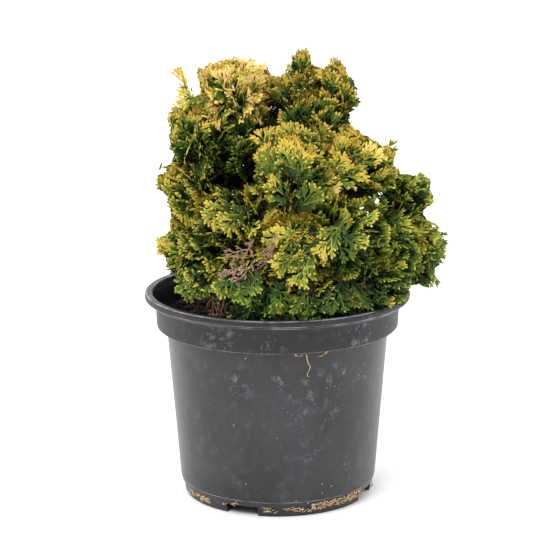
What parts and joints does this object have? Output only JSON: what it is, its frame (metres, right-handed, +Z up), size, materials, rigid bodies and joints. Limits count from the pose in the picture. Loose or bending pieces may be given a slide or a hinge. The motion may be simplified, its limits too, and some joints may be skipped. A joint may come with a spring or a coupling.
{
  "type": "potted dwarf hinoki cypress",
  "caption": "Dwarf golden hinoki cypress in a round black nursery pot: short forked trunk, boughs and dense flat fan sprays of foliage over a filled pot.",
  "frame": {"origin": "centre of the pot's flat underside, on the surface that it stands on", "axes": "+Z up through the pot, -Y towards the front of the plant, +X to the right seen from the front"},
  "size_m": [0.3003, 0.2687, 0.4364],
  "materials": {
    "pot_plastic": "black moulded nursery-pot plastic, satin, dusty and lightly scuffed",
    "potting_soil": "dark bark-based potting mix with wood chips",
    "bark": "red-brown fibrous bark, rough",
    "foliage": "golden to deep green scale-leaf sprays, satin"
  },
  "bodies": {
    "root": {"pot": "pot_plastic", "soil": "potting_soil", "trunk": "bark", "bough_left_crest": "bark", "bough_right_crest": "bark", "bough_back_crest": "bark", "bough_left_shoulder": "bark", "bough_heart": "bark", "bough_hollow_left": "bark", "bough_front_spire": "bark", "bough_right_shoulder": "bark", "bough_mid_left": "bark", "bough_back_right": "bark", "bough_back_left": "bark", "bough_back_middle": "bark", "bough_right_arm": "bark", "bough_brow_left": "bark", "bough_front_right": "bark", "bough_front": "bark", "bough_low_left": "bark", "bough_front_left": "bark", "bough_front_middle": "bark", "bough_right_middle": "bark", "bough_low_right": "bark", "bough_skirt_front": "bark", "bough_skirt_front_right": "bark", "bough_skirt_right": "bark", "bough_back_low_left": "bark", "bough_back_low": "bark", "bough_back_low_right": "bark", "middle_spire": "foliage", "left_crest": "foliage", "right_crest": "foliage", "back_crest": "foliage", "left_shoulder": "foliage", "heart": "foliage", "hollow_left": "foliage", "front_spire": "foliage", "right_shoulder": "foliage", "mid_left": "foliage", "back_right": "foliage", "back_left": "foliage", "back_middle": "foliage", "right_arm": "foliage", "brow_left": "foliage", "front_right": "foliage", "front": "foliage", "low_left": "foliage", "front_left": "foliage", "front_middle": "foliage", "right_middle": "foliage", "low_right": "foliage", "skirt_front": "foliage", "skirt_front_right": "foliage", "skirt_right": "foliage", "back_low_left": "foliage", "back_low": "foliage", "back_low_right": "foliage"}
  },
  "joints": []
}
